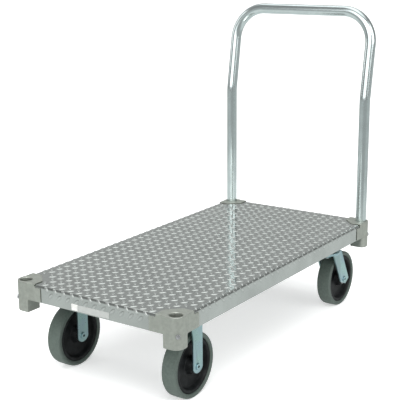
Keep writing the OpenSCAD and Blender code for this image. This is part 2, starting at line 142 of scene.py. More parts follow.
class TreadSettings(bpy.types.PropertyGroup):
    """Sizes of the raised lugs on the deck."""

    pitch_x: length("Pitch across", "Spacing of like lugs across the deck", 34.0 * MM)
    pitch_y: length("Pitch along", "Spacing of like lugs along the deck", 35.3 * MM)
    first_x: length("First column", "Place of a lug's middle across, from the deck's middle", 22.0 * MM)
    first_y: length("First row", "Place of a lug's middle along, from the deck's middle", -578.0 * MM)
    lug_length: length("Lug length", "Length of a lug", 28.0 * MM)
    lug_width: length("Lug width", "Width of a lug at its middle", 11.5 * MM)
    lug_height: length("Lug height", "Height of a lug above the sheet", 2.3 * MM)
    bend_radius: length("Bend radius", "Outside radius of the deck's turned-down edges", 8.0 * MM)
    front_drop: length("End edges' tread", "Depth of the tread on the front and rear edges", 30.0 * MM)
    side_drop: length("Side edges' tread", "Depth of the tread on the long edges", 19.0 * MM)


class HandleSettings(bpy.types.PropertyGroup):
    """Sizes of the bent tube."""

    tube_radius: length("Tube radius", "Outside radius of the tube", 19.05 * MM)
    wall: length("Wall", "Wall of the tube", 2.1 * MM)
    kink_height: length("Kink height", "Height above the floor at which the posts lean back", 762.0 * MM)
    kink_radius: length("Kink bend", "Centreline radius of the bend at the kink", 180.0 * MM)
    lean: angle("Lean", "Lean of the upper part", 9.0)
    corner_radius: length("Corner bend", "Centreline radius of the grip corners", 115.0 * MM)


class WheelSettings(bpy.types.PropertyGroup):
    """Sizes of a wheel's moulded section."""

    core_radius: length("Core radius", "Radius of the core under the tyre", 86.0 * MM)
    shoulder: length("Shoulder", "Rounding of the tyre's shoulders", 6.0 * MM)
    crown: length("Crown", "Rise of the tread from its edges to its middle", 0.5 * MM)
    core_half: length("Core half width", "Half the width of the core's rim", 22.4 * MM)
    rim: length("Rim", "Thickness of the core's rim", 11.0 * MM)
    web_half: length("Web half thickness", "Half the thickness of the core's web", 8.0 * MM)
    hub_radius: length("Hub radius", "Outside radius of the hub", 24.0 * MM)
    bore_radius: length("Bore radius", "Radius of the hub's bearing bore", 16.0 * MM)
    fillet: length("Fillet", "Rounding where the web meets hub and rim", 5.0 * MM)


class FinishSettings(bpy.types.PropertyGroup):
    """Colours of the materials."""

    sheet: colour("Tread plate", "Rolled aluminium sheet", "BCC0BD")
    # on the lugs, crest and sheet_dull are partly real wear and film, partly a painted highlight on the
    # crests and painted shade at the feet
    crest: colour("Lug crests", "Lug crests rubbed bright", "C6CAC7")
    sheet_dull: colour("Tread plate, dull", "Sheet where dull film stays", "9EA29F")
    casting: colour("Casting", "Cast aluminium", "B0B4AC")
    zinc: colour("Zinc", "Zinc plate, blue-green film", "A6C6C3")
    zinc_blue: colour("Zinc, blue", "Zinc plate where its film is bluer", "A5BFC6")
    tube: colour("Handle tube", "Bright zinc plate on drawn tube", "D2DCDC")
    rubber: colour("Tyre", "Grey non-marking rubber", "4A554F")
    rubber_dust: colour("Tyre, scuffed", "Rubber where the floor has scuffed it", "57635C")
    core: colour("Core", "Black moulded core", "0E1011")
    # painted shade: the dark colour painted on the axles' ends, where their holes would be in shade
    grease: colour("Grease", "Old grease in the hollow axles", "23302D")
    label: colour("Label", "Grey painted plate", "A6A9A6")
    label_field: colour("Label end", "Whiter square at the label plate's end", "D8D8D4")
    bright_steel: colour("Bearing steel", "Ground bearing steel", "C6C7C9")


class StageSettings(bpy.types.PropertyGroup):
    """Camera and light."""

    azimuth: angle("Azimuth", "Camera's turn round the truck from straight in front", 34.375)
    elevation: angle("Elevation", "Camera's downward view", 14.192)
    roll: angle("Roll", "Camera's tilt about its own view", -0.395)
    camera_place: bpy.props.FloatVectorProperty(
        name="Camera place", description="Where the camera stands", subtype="XYZ", unit="LENGTH",
        default=(1.8167, -2.7290, 1.3026))
    lens: bpy.props.FloatProperty(
        name="Lens", description="Focal length on a 36 mm sensor, in millimetres", default=90.23)
    wall_azimuth: angle("Light wall", "Direction of the middle of the light wall", 42)
    front_wall: level("Light wall", "Brightness of the light wall over the room's", 2.0)
    side_wall: level("Side walls", "Brightness of the side walls", 0.33)
    back_wall: level("Back wall", "Brightness of the wall across from the bright one", 0.55)
    gap_azimuth: angle("Gap", "Direction of the gap between the light wall's two panels", 47)
    ceiling: level("Ceiling", "Brightness of the ceiling", 1.7)
    floor_glow: level("Floor glow", "Light that the floor gives of itself", 0.45)
    floor_front: level("Mirrored floor, front", "Floor's brightness in metal, on the light's side", 0.47)
    floor_side: level("Mirrored floor, sides", "Floor's brightness in metal, elsewhere", 0.92)
    floor_far: level("Mirrored floor, far", "Floor's brightness in metal, far from the truck", 0.6)
    # floor_under: a painted shadow under the truck, in the floor that metal mirrors
    floor_under: level("Mirrored floor, under", "Share of that brightness left under the truck", 0.5)
    key_power: bpy.props.FloatProperty(
        name="Key", description="Power of the upper soft box", default=60, unit="POWER")
    fill_power: bpy.props.FloatProperty(
        name="Fill", description="Power of the side soft box", default=14, unit="POWER")


SETTINGS = {
    "truck_tread": TreadSettings,
    "truck_handle": HandleSettings,
    "truck_wheel": WheelSettings,
    "truck_finish": FinishSettings,
    "truck_stage": StageSettings,
}


def settings(name):
    """The scene's values of one settings group."""
    return getattr(bpy.context.scene, name)


# ---------- nodes and materials ----------

def add(tree, kind, *values, output=None, **options):
    """Adds a node, sets its options, then gives its working inputs a value or a link, in order.

    None leaves an input alone. Returns the named output, or else the first working one.
    """
    made = tree.nodes.new("ShaderNode" + kind)
    for key, value in options.items():
        setattr(made, key, value)
    working = [socket for socket in made.inputs if socket.enabled]
    for socket, value in zip(working, values):
        if isinstance(value, bpy.types.NodeSocket):
            tree.links.new(value, socket)
        elif value is not None:
            socket.default_value = value
    return made.outputs[output] if output else next(s for s in made.outputs if s.enabled)


def start_material(name):
    """A new material, its tree, its Principled shader and its Object coordinates."""
    material = bpy.data.materials.new(name)
    material.use_nodes = True
    tree = material.node_tree
    return material, tree, tree.nodes["Principled BSDF"], add(tree, "TexCoord", output="Object")


def blotches(tree, place, size, stretch=(1, 1, 1), detail=2.0, rough=0.5):
    """Soft blotches from about 0.3 to 0.7 that measure size metres, drawn out by stretch."""
    scale = [1 / (size * longer) for longer in stretch]
    mapped = add(tree, "Mapping", place, None, None, scale)
    return add(tree, "TexNoise", mapped, 1.0, detail, rough)


def bumped(tree, layers):
    """A normal from (height, depth in metres) layers, laid over each other."""
    normal = None
    for height, depth in layers:
        normal = add(tree, "Bump", 1.0, depth, None, height, normal)
    return normal


def shaded(base, share):
    """A colour at a share of its brightness."""
    return [part * share for part in base[:3]] + [1.0]


def finish_material(tree, shader, fixed, linked):
    """Sets the shader's own values and links its patterned ones."""
    for key, value in fixed.items():
        shader.inputs[key].default_value = value
    for key, value in linked.items():
        tree.links.new(value, shader.inputs[key])


def rolled_aluminium(name, lugs):
    """Mill-finish aluminium tread plate, hot rolled between a plain and an engraved roll.

    The sheet is bright and half glossy, with faint rolling lines along it and handling scuffs.
    Lug crests are lighter and the lugs' feet darker: partly rubbed wear and dull film, partly a painted
    highlight on the crests and painted shade at the feet.
    """
    finish = settings("truck_finish")
    material, tree, shader, place = start_material(name)
    if lugs:
        crest = add(tree, "Attribute", output="Fac", attribute_name="crest")
        bright = finish.crest
        # lighter crests and darker feet: partly rubbed wear and film, partly painted highlight and
        # painted shade
        tint = add(tree, "MapRange", crest, 0.05, 0.6, 1.0, 0.0)
        roughness = add(tree, "MapRange", crest, 0.2, 1.0, 0.34, 0.26)
    else:
        clouds = blotches(tree, place, 90 * MM, detail=3.0)
        bright = finish.sheet
        tint = add(tree, "MapRange", clouds, 0.35, 0.7, 0.0, 0.45)
        roughness = add(tree, "MapRange", clouds, 0.3, 0.7, 0.06, 0.12)
    base = add(tree, "Mix", tint, bright, finish.sheet_dull, data_type="RGBA")
    scratches = blotches(tree, place, 5 * MM, stretch=(9, 1, 1), detail=4.0)
    scuffs = add(tree, "MapRange", scratches, 0.56, 0.72, 0.0, 0.08)
    rolling = blotches(tree, place, 2.5 * MM, stretch=(1, 60, 1), detail=1.0)
    waves = blotches(tree, place, 30 * MM)
    finish_material(tree, shader, {"Metallic": 1.0}, {
        "Base Color": base,
        "Roughness": add(tree, "Math", roughness, scuffs),
        "Normal": bumped(tree, [(rolling, 0.015 * MM), (waves, 0.08 * MM)])})
    return material


def cast_aluminium():
    """Sand-cast aluminium, shaken clean: a soft grey sheen over a grain like fine sandpaper,
    with slow hollows left by the mould and darker film in the low spots."""
    finish = settings("truck_finish")
    material, tree, shader, place = start_material("sand_cast_aluminium")
    grain = blotches(tree, place, 1.6 * MM, detail=4.0, rough=0.65)
    hollows = blotches(tree, place, 11 * MM)
    film = add(tree, "MapRange", hollows, 0.3, 0.7, 0.55, 0.0)
    dull = shaded(finish.casting, 0.72)
    finish_material(tree, shader, {"Metallic": 0.9}, {
        "Base Color": add(tree, "Mix", film, finish.casting, dull, data_type="RGBA"),
        "Roughness": add(tree, "MapRange", grain, 0.3, 0.7, 0.42, 0.6),
        "Normal": bumped(tree, [(grain, 0.22 * MM), (hollows, 0.5 * MM)])})
    return material


def axle_radius(tree, place, centre):
    """Distance from the wheel's axle line, in metres."""
    moved = add(tree, "Mapping", place, [-part for part in centre])
    flat = add(tree, "VectorMath", moved, (0, 1, 1), operation="MULTIPLY")
    return add(tree, "VectorMath", flat, operation="LENGTH")


def zinc_plate(name, bore=None):
    """Pressed steel with bright zinc plate and a thin blue-green passive film: half glossy, its tint
    drifting from green to blue, with a fine pickled grain under the plate. Where bore gives an axle's
    middle, a dark disc is painted on its end: painted shade standing in for the hole in the axle's end."""
    finish = settings("truck_finish")
    material, tree, shader, place = start_material(name)
    drift = blotches(tree, place, 38 * MM)
    bluer = add(tree, "MapRange", drift, 0.35, 0.65)
    base = add(tree, "Mix", bluer, finish.zinc, finish.zinc_blue, data_type="RGBA")
    if bore is not None:
        radius = axle_radius(tree, place, bore)
        # painted shade: the middle of the axle's end is painted dark, as the inside of a hole
        inside = add(tree, "MapRange", radius, AXLE_BORE - 0.1 * MM, AXLE_BORE + 0.2 * MM, 1.0, 0.0)
        base = add(tree, "Mix", inside, base, finish.grease, data_type="RGBA")
    grain = blotches(tree, place, 1.8 * MM, detail=3.0)
    handling = blotches(tree, place, 9 * MM, detail=3.0)
    finish_material(tree, shader, {"Metallic": 1.0}, {
        "Base Color": base,
        "Roughness": add(tree, "MapRange", handling, 0.3, 0.7, 0.26, 0.42),
        "Normal": bumped(tree, [(grain, 0.02 * MM), (drift, 0.3 * MM)])})
    return material


def drawn_tube():
    """Drawn steel tube with bright zinc plate: glossy, with fine draw lines along its length
    that follow the tube round its bends, and a few duller hand-worn clouds."""
    finish = settings("truck_finish")
    material, tree, shader, place = start_material("bright_zinc_drawn_tube")
    along = add(tree, "UVMap", uv_map="along")
    lines = blotches(tree, along, 1.2 * MM, stretch=(120, 1, 1))
    clouds = blotches(tree, place, 60 * MM, detail=3.0)
    worn = add(tree, "MapRange", clouds, 0.35, 0.7, 0.0, 0.6)
    dull = shaded(finish.tube, 0.8)
    finish_material(tree, shader, {"Metallic": 1.0}, {
        "Base Color": add(tree, "Mix", worn, finish.tube, dull, data_type="RGBA"),
        "Roughness": add(tree, "MapRange", clouds, 0.3, 0.7, 0.13, 0.21),
        "Normal": bumped(tree, [(lines, 0.006 * MM)])})
    return material


def grey_rubber(name, centre, tread_radius):
    """Grey non-marking rubber moulded on to its core: matt, faintly mottled, with floor scuffs
    that lighten the rolling face and leave the side walls darker."""
    finish = settings("truck_finish")
    material, tree, shader, place = start_material(name)
    radius = axle_radius(tree, place, centre)
    rolling = add(tree, "MapRange", radius, tread_radius - 4 * MM, tread_radius)
    mottle = blotches(tree, place, 7 * MM, detail=4.0, rough=0.6)
    patches = add(tree, "MapRange", mottle, 0.35, 0.65)
    worn = add(tree, "Math", rolling, patches, operation="MULTIPLY")
    pebble = blotches(tree, place, 1.4 * MM)
    finish_material(tree, shader, {"IOR": 1.52, "Specular IOR Level": 0.45}, {
        "Base Color": add(tree, "Mix", worn, finish.rubber, finish.rubber_dust, data_type="RGBA"),
        "Roughness": add(tree, "MapRange", mottle, 0.3, 0.7, 0.5, 0.68),
        "Normal": bumped(tree, [(pebble, 0.12 * MM), (mottle, 0.3 * MM)])})
    return material


def black_core(name, centre):
    """Glass-filled black plastic core, moulded: half gloss with a fine orange-peel skin, flow
    rings 7 mm apart round the hub from the moulding gate, and a haze of dust."""
    finish = settings("truck_finish")
    material, tree, shader, place = start_material(name)
    radius = axle_radius(tree, place, centre)
    turns = add(tree, "Math", radius, 2 * math.pi / (7 * MM), operation="MULTIPLY")
    rings = add(tree, "Math", turns, operation="SINE")
    peel = blotches(tree, place, 2.2 * MM)
    dust = add(tree, "MapRange", blotches(tree, place, 26 * MM, detail=4.0), 0.42, 0.75)
    dusty = [part * 2.4 + 0.006 for part in finish.core[:3]] + [1.0]
    finish_material(tree, shader, {"IOR": 1.53, "Specular IOR Level": 0.15}, {
        "Base Color": add(tree, "Mix", dust, finish.core, dusty, data_type="RGBA"),
        "Roughness": add(tree, "MapRange", peel, 0.3, 0.7, 0.42, 0.56),
        "Normal": bumped(tree, [(peel, 0.06 * MM), (rings, 0.03 * MM)])})
    return material


def painted_label(field_edge):
    """Thin aluminium plate with baked grey paint, whiter up to field_edge across: smooth satin,
    slightly uneven, left blank."""
    finish = settings("truck_finish")
    material, tree, shader, place = start_material("painted_label_plate")
    across = add(tree, "SeparateXYZ", place, output="X")
    beyond = add(tree, "MapRange", across, field_edge - 0.2 * MM, field_edge + 0.2 * MM)
    paint = add(tree, "Mix", beyond, finish.label_field, finish.label, data_type="RGBA")
    cloud = blotches(tree, place, 12 * MM, detail=3.0)
    uneven = add(tree, "MapRange", cloud, 0.4, 0.75, 0.0, 0.5)
    thin_paint = shaded(finish.label, 0.86)
    finish_material(tree, shader, {"IOR": 1.5}, {
        "Base Color": add(tree, "Mix", uneven, paint, thin_paint, data_type="RGBA"),
        "Roughness": add(tree, "MapRange", cloud, 0.3, 0.7, 0.3, 0.42),
        "Normal": bumped(tree, [(blotches(tree, place, 1.5 * MM), 0.02 * MM)])})
    return material


def ground_steel():
    """Hardened bearing steel, ground: bright and smooth with a light oil film."""
    finish = settings("truck_finish")
    material, tree, shader, place = start_material("ground_bearing_steel")
    film = blotches(tree, place, 6 * MM, detail=3.0)
    oiled = add(tree, "MapRange", film, 0.4, 0.7)
    dull = shaded(finish.bright_steel, 0.75)
    finish_material(tree, shader, {"Metallic": 1.0}, {
        "Base Color": add(tree, "Mix", oiled, finish.bright_steel, dull, data_type="RGBA"),
        "Roughness": add(tree, "MapRange", film, 0.3, 0.7, 0.16, 0.34),
        "Normal": bumped(tree, [(blotches(tree, place, 1.0 * MM), 0.01 * MM)])})
    return material


# ---------- mesh helpers ----------

def make_object(name, points, faces, smooth=True):
    """A mesh object from an array of points and a list of faces, at the origin."""
    mesh = bpy.data.meshes.new(name)
    mesh.from_pydata(np.asarray(points, float).tolist(), [], faces)
    mesh.shade_smooth() if smooth else mesh.shade_flat()
    made = bpy.data.objects.new(name, mesh)
    bpy.context.scene.collection.objects.link(made)
    return made


def face_outwards(piece):
    """Turns a closed piece's faces to the outside."""
    edit = bmesh.new()
    edit.from_mesh(piece.data)
    bmesh.ops.recalc_face_normals(edit, faces=edit.faces)
    edit.to_mesh(piece.data)
    edit.free()


def grid_faces(rows, columns, wrap_rows=False, wrap_columns=False):
    """Quads of a grid of points numbered row by row, closed on itself where a wrap is asked for."""
    r = np.arange(rows if wrap_rows else rows - 1)
    c = np.arange(columns if wrap_columns else columns - 1)
    first, across = np.meshgrid(r, c, indexing="ij")
    after, beside = (first + 1) % rows, (across + 1) % columns
    quads = np.stack([first * columns + across, first * columns + beside,
                      after * columns + beside, after * columns + across], axis=-1)
    return quads.reshape(-1, 4)


def finish_piece(piece, body, slot, material, *nodes):
    """Gives a piece its material, its body and the nodes that it stands for; slot, the record's slot, is
    not used.
    """
    piece.data.materials.clear()
    piece.data.materials.append(material)
    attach(piece, body)
    if nodes:
        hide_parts(*nodes)


def body_of_node(node):
    """The CAD body that a node rides on."""
    return frame["nodes"][node]["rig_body"]


def slot_of_node(node):
    """The record's material slot of a node."""
    rows = frame["record"]["subparts"]
    return next(row["material_slot"] for row in rows if row["node"] == node)


def merged_copy(node, name):
    """A copy of a CAD node with its doubled points merged and its flat faces joined."""
    made = bpy.data.objects.new(name, frame["nodes"][node].data.copy())
    bpy.context.scene.collection.objects.link(made)
    edit = bmesh.new()
    edit.from_mesh(made.data)
    bmesh.ops.remove_doubles(edit, verts=edit.verts, dist=2e-6)
    bmesh.ops.dissolve_limit(edit, angle_limit=math.radians(0.4), verts=edit.verts, edges=edit.edges)
    edit.to_mesh(made.data)
    edit.free()
    made.data.shade_smooth()
    return made


def soften(node, name, material, edge):
    """Makes a CAD node's copy, with its sharp edges rounded by edge metres, stand for the node."""
    made = merged_copy(node, name)
    bevel = made.modifiers.new("edges", "BEVEL")
    bevel.width = edge
    bevel.segments = 2
    bevel.limit_method = "ANGLE"
    bevel.angle_limit = math.radians(32)
    bevel.harden_normals = True
    bevel.use_clamp_overlap = True
    finish_piece(made, body_of_node(node), slot_of_node(node), material, node)


def paint_nodes(material, nodes):
    """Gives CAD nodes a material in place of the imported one."""
    for node in nodes:
        mesh = frame["nodes"][node].data
        mesh.materials.clear()
        mesh.materials.append(material)


# ---------- tread ----------

def folded(along, half, radius):
    """How a sheet with turned-down edges lies, for distances along it from its middle line.

    Flat up to half less radius, then a quarter circle of that radius, then straight down.
    Returns the distance out, the drop below the top, and the sheet's turn in radians.
    """
    reach = np.abs(along)
    flat = half - radius
    turn = np.clip((reach - flat) / radius, 0, math.pi / 2)
    below = np.maximum(reach - flat - radius * math.pi / 2, 0)
    out = np.minimum(reach, flat) + radius * np.sin(turn)
    drop = radius * (1 - np.cos(turn)) + below
    return np.sign(along) * out, drop, np.sign(along) * turn


def on_sheet(x, y, height, radius):
    """Points at a height above the folded deck sheet, for distances x and y from its middle."""
    out_x, drop_x, turn_x = folded(x, DECK_HALF.x, radius)
    out_y, drop_y, turn_y = folded(y, DECK_HALF.y, radius)
    up = height * np.cos(turn_x) * np.cos(turn_y)
    return np.stack([
        DECK_MIDDLE.x + out_x + height * np.sin(turn_x),
        DECK_MIDDLE.y + out_y + height * np.sin(turn_y),
        DECK_HIGH.z - drop_x - drop_y + up], axis=-1)


def lug_places(tread):
    """Middles and turns of all lugs: two square lattices, half a pitch apart each way, whose
    lugs lie at 45 degrees one way on the first lattice and the other way on the second."""
    around = tread.bend_radius * (math.pi / 2 - 1)
    reach_x = DECK_HALF.x + around + tread.side_drop - tread.bend_radius
    reach_y = DECK_HALF.y + around + tread.front_drop - tread.bend_radius
    steps = np.arange(-60, 61)
    places = []
    for lattice, turn in ((0.0, -math.pi / 4), (0.5, math.pi / 4)):
        xs = tread.first_x + (steps + lattice) * tread.pitch_x
        ys = tread.first_y + (steps + lattice) * tread.pitch_y
        xs, ys = xs[np.abs(xs) < reach_x], ys[np.abs(ys) < reach_y]
        grid = np.stack(np.meshgrid(xs, ys), axis=-1).reshape(-1, 2)
        places.append(np.column_stack([grid, np.full(len(grid), turn)]))
    return np.vstack(places)


def clear_of_castings(places, tread):
    """Keeps the lugs whose middles are outside the corner castings' caps and flanges."""
    room = 0.35 * tread.lug_length
    edge = tread.bend_radius
    from_x = DECK_HALF.x - np.abs(places[:, 0])
    from_y = DECK_HALF.y - np.abs(places[:, 1])
    under_cap = (from_x < CAP_REACH + room) & (from_y < CAP_REACH + room)
    under_cap &= from_x + from_y < 2 * CAP_REACH - CAP_CHAMFER + room * 1.4
    under_flange = (from_x < edge) & (from_y < FLANGE_REACH + room)
    under_flange |= (from_y < edge) & (from_x < FLANGE_REACH + room)
    return places[~(under_cap | under_flange)]


class TRUCK_OT_tread(bpy.types.Operator):
    """Raise the lugs of the tread plate on the deck and over its bends"""

    bl_idname = "truck.tread"
    bl_label = "Tread lugs"

    def execute(self, context):
        """A lug is a dome over a lens outline, with u along it and v across, both from -1 to 1:
        its half width goes as 1 - 0.9 u^2, and its height as (1 - u^4) (1 - v^2). Its foot is
        sunk a little, and the bending press has flattened the lugs on the bends and lips."""
        tread = settings("truck_tread")
        rows = np.array([-1, -0.86, -0.55, -0.2, 0.2, 0.55, 0.86, 1])
        columns = np.array([-1, -0.72, -0.3, 0.3, 0.72, 1])
        u, v = (a.ravel() for a in np.meshgrid(rows, columns, indexing="ij"))
        along = u * tread.lug_length / 2
        across = v * (1 - u ** 2 * 0.9) * tread.lug_width / 2
        rise = (1 - u ** 4) * (1 - v ** 2)
        height = rise * tread.lug_height - LUG_SUNK * (rise < 0.01)
        places = clear_of_castings(lug_places(tread), tread)
        flat = (np.abs(places[:, 0]) < DECK_HALF.x - tread.bend_radius)
        flat &= np.abs(places[:, 1]) < DECK_HALF.y - tread.bend_radius
        turn = places[:, 2:3]
        x = places[:, 0:1] + along * np.cos(turn) - across * np.sin(turn)
        y = places[:, 1:2] + along * np.sin(turn) + across * np.cos(turn)
        pressed = np.where(flat, 1.0, PRESSED_HEIGHT)
        points = on_sheet(x, y, np.outer(pressed, height), tread.bend_radius)
        count, wide = len(u), len(columns)
        quads = grid_faces(len(rows), wide)
        rim = [*range(wide), *range(2 * wide - 1, count, wide),
               *range(count - 2, count - wide - 1, -1), *range(count - 2 * wide, 0, -wide)]
        faces = []
        for start in range(0, len(places) * count, count):
            faces.extend((quads + start).tolist())
            faces.append([start + i for i in rim])
        piece = make_object("tread_lugs", points.reshape(-1, 3), faces)
        crest = piece.data.attributes.new("crest", "FLOAT", "POINT")
        # painted highlight: lugs on the bends and lips get less of their lighter crest
        rubbed = np.where(flat, 1.0, PRESSED_CREST)
        crest.data.foreach_set("value", np.outer(rubbed, rise).ravel().astype(np.float32))
        finish_piece(piece, body_of_node("deck_plate"), "aluminium_sheet",
                     rolled_aluminium("rolled_tread_lugs", True))
        paint_nodes(rolled_aluminium("rolled_tread_sheet", False), ["deck_plate"])
        return {"FINISHED"}


# ---------- castings and frame ----------

class TRUCK_OT_castings(bpy.types.Operator):
    """Round the corner castings as a sand mould leaves them"""

    bl_idname = "truck.castings"
    bl_label = "Corner castings"

    def execute(self, context):
        """Each casting's solid is remeshed finely and relaxed, which fillets every edge."""
        material = cast_aluminium()
        for end in ENDS:
            for side in SIDES:
                node = f"corner_casting_{end}_{side}"
                piece = merged_copy(node, f"sand_casting_{end}_{side}")
                remesh = piece.modifiers.new("skin", "REMESH")
                remesh.mode = "VOXEL"
                remesh.voxel_size = 1.5 * MM
                relax = piece.modifiers.new("fillets", "SMOOTH")
                relax.factor = 0.5
                relax.iterations = 6
                piece.data.shade_smooth()
                finish_piece(piece, body_of_node(node), slot_of_node(node), material, node)
        return {"FINISHED"}


class TRUCK_OT_under_frame(bpy.types.Operator):
    """Finish the bolsters and ribs under the deck"""

    bl_idname = "truck.under_frame"
    bl_label = "Under frame"

    def execute(self, context):
        """Extruded channels with lightly broken edges."""
        material = rolled_aluminium("extruded_channel", False)
        ribs = [f"deck_rib_{place}" for place in ("front", "middle", "rear")]
        for node in ("front_bolster", "rear_bolster", *ribs):
            soften(node, f"{node}_channel", material, 0.5 * MM)
        return {"FINISHED"}


class TRUCK_OT_casters(bpy.types.Operator):
    """Finish the pressed forks, top plates, axles and fasteners"""

    bl_idname = "truck.casters"
    bl_label = "Caster steelwork"

    def execute(self, context):
        """Pressed steel keeps its shape and gets rounded edges; hidden bearings get steel."""
        zinc = zinc_plate("zinc_plated_pressed_steel")
        steel = ground_steel()
        for side in SIDES:
            for part, edge in (("rigid_fork", 1.0), ("swivel_fork", 1.0), ("swivel_plate", 0.8)):
                soften(f"{part}_{side}", f"pressed_{part}_{side}", zinc, edge * MM)
            soften(f"kingpin_nut_{side}", f"plated_kingpin_nut_{side}", zinc, 0.6 * MM)
            for end in ENDS:
                low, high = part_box(f"axle_{end}_{side}")
                plated = zinc_plate(f"zinc_plated_axle_{end}_{side}", (low + high) / 2)
                soften(f"axle_{end}_{side}", f"plated_axle_{end}_{side}", plated, 0.5 * MM)
        for node in ("lock_screws", "caster_bolts", "caster_nuts"):
            soften(node, f"plated_{node}", steel, 0.5 * MM)
        hidden = ("kingpin_left", "kingpin_right", "lower_race", "load_balls", "thrust", "sleeve",
                  "rollers")
        paint_nodes(steel, [node for node in frame["nodes"] if node.startswith(hidden)])
        paint_nodes(zinc, ["caster_washers"])
        return {"FINISHED"}


# ---------- wheels ----------

def arc(centre, radius, start, end, count=7):
    """Points of an arc about a centre in the section plane, angles in degrees from outwards."""
    turn = np.radians(np.linspace(start, end, count))
    return np.column_stack([centre[0] + radius * np.sin(turn), centre[1] + radius * np.cos(turn)])


def turned_ring(name, section, centre, count=144):
    """A closed section of (across, radius) points carried round the axle line through centre."""
    turn = np.linspace(0, 2 * math.pi, count, endpoint=False)[:, None]
    points = np.stack([
        centre.x + np.broadcast_to(section[:, 0], (count, len(section))),
        centre.y + section[:, 1] * np.sin(turn),
        centre.z + section[:, 1] * np.cos(turn)], axis=-1)
    faces = grid_faces(count, len(section), True, True).tolist()
    return make_object(name, points.reshape(-1, 3), faces)


def tyre_section(wheel, half, outer):
    """Tread with a slight crown, round shoulders, and side walls stepped in near the core."""
    r = wheel.shoulder
    across = np.linspace(-(half - r), half - r, 9)
    crown = outer - wheel.crown * (across / (half - r)) ** 2
    tread = np.column_stack([across, crown])
    edge = outer - wheel.crown - r
    right = arc((half - r, edge), r, 8, 90)
    band = 2 * MM  # plain part of the wall, below the shoulder
    step_in, step_down = 0.6 * MM, 0.8 * MM  # the wall's step towards the core
    foot, lap = 1.2 * MM, 1 * MM  # the wall's last slope, down and in over the core's edge
    wall = np.array([
        [half, edge - band], [half - step_in, edge - band - step_down],
        [half - step_in, wheel.core_radius + foot], [wheel.core_half - lap, wheel.core_radius]])
    left = np.vstack([right, wall])[::-1] * (-1, 1)
    return np.vstack([tread, right, wall, left])


def rounded(corners, radius, count=5):
    """A closed outline with each corner eased by the curve (1 - t)^2 start + 2 t (1 - t) corner
    + t^2 end, which starts and ends at radius from the corner, or 0.45 of a side if less."""
    corners = np.asarray(corners, float)
    t = np.linspace(0, 1, count)[:, None]
    pieces = []
    for before, corner, after in zip(np.roll(corners, 1, 0), corners, np.roll(corners, -1, 0)):
        sides = (before - corner, after - corner)
        start, end = (corner + side * min(radius / np.linalg.norm(side), 0.45) for side in sides)
        pieces.append((1 - t) ** 2 * start + 2 * t * (1 - t) * corner + t ** 2 * end)
    return np.vstack(pieces)


def core_section(wheel, hub_half):
    """Rim, dished web and long hub, all with eased corners."""
    slope = 5 * MM
    rim_in = wheel.core_radius - wheel.rim
    right = [(hub_half, wheel.bore_radius), (hub_half, wheel.hub_radius),
             (wheel.web_half, wheel.hub_radius + slope), (wheel.web_half, rim_in - slope),
             (wheel.core_half, rim_in), (wheel.core_half, wheel.core_radius)]
    left = [(-across, radius) for across, radius in reversed(right)]
    return rounded(right + left, wheel.fillet * 0.7)[::-1]


class TRUCK_OT_wheels(bpy.types.Operator):
    """Turn the four tyres and their moulded cores"""

    bl_idname = "truck.wheels"
    bl_label = "Wheels"

    def execute(self, context):
        """Every wheel is a section carried round its axle."""
        wheel = settings("truck_wheel")
        for end in ENDS:
            for side in SIDES:
                place = f"{end}_{side}"
                low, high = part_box(f"tyre_{place}")
                centre = (low + high) / 2
                outer = (high.z - low.z) / 2
                hub_low, hub_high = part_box(f"core_{place}")
                body = body_of_node(f"tyre_{place}")
                tyre = turned_ring(f"rubber_tyre_{place}",
                                   tyre_section(wheel, (high.x - low.x) / 2, outer), centre)
                finish_piece(tyre, body, "rubber",
                             grey_rubber(f"grey_rubber_{place}", centre, outer), f"tyre_{place}")
                core = turned_ring(f"moulded_core_{place}",
                                   core_section(wheel, (hub_high.x - hub_low.x) / 2), centre)
                finish_piece(core, body, "core_plastic",
                             black_core(f"black_core_{place}", centre), f"core_{place}")
        return {"FINISHED"}


# ---------- handle ----------

def handle_path(handle, low, high):
    """Centreline of the handle, from one post's foot to the other, as points and the sideways
    normals of its bends. Posts rise straight, an arc leans them back, quarter circles turn
    them into the bar, and the second half is the first one mirrored."""
    r, lean = handle.tube_radius, handle.lean
    post_x, post_y = high.x - r, low.y + r
    upper = (high.z - r - handle.kink_height) / math.cos(lean)
    cut = handle.kink_radius * math.tan(lean / 2)
    foot = np.linspace(low.z, handle.kink_height - cut, POST_RINGS)
    post = np.column_stack([
        np.full_like(foot, post_x), np.full_like(foot, post_y), foot, np.zeros_like(foot)])
    turn = np.linspace(0, lean, KINK_RINGS + 1)[1:]
    kink = np.column_stack([
        np.full_like(turn, post_x), post_y + handle.kink_radius * (1 - np.cos(turn)),
        handle.kink_height - cut + handle.kink_radius * np.sin(turn), turn])
    rise = np.linspace(cut, upper - handle.corner_radius, STRAIGHT_RINGS + 1)[1:]
    bend = np.linspace(0, math.pi / 2, CORNER_RINGS + 1)[1:]
    out = post_x - handle.corner_radius * (1 - np.cos(bend))
    bar = np.linspace(post_x - handle.corner_radius, 0, STRAIGHT_RINGS + 1)[1:]
    across = np.concatenate([np.full_like(rise, post_x), out, bar])
    corner_up = upper - handle.corner_radius * (1 - np.sin(bend))
    up = np.concatenate([rise, corner_up, np.full_like(bar, upper)])
    leaning = np.column_stack([
        across, post_y + up * math.sin(lean), handle.kink_height + up * math.cos(lean),
        np.full(len(up), lean)])
    right = np.vstack([post, kink, leaning])
    left = right[-2::-1] * (-1, 1, 1, 1)
    path = np.vstack([right, left])
    normal = np.column_stack([np.zeros(len(path)), np.cos(path[:, 3]), -np.sin(path[:, 3])])
    return path[:, :3], normal


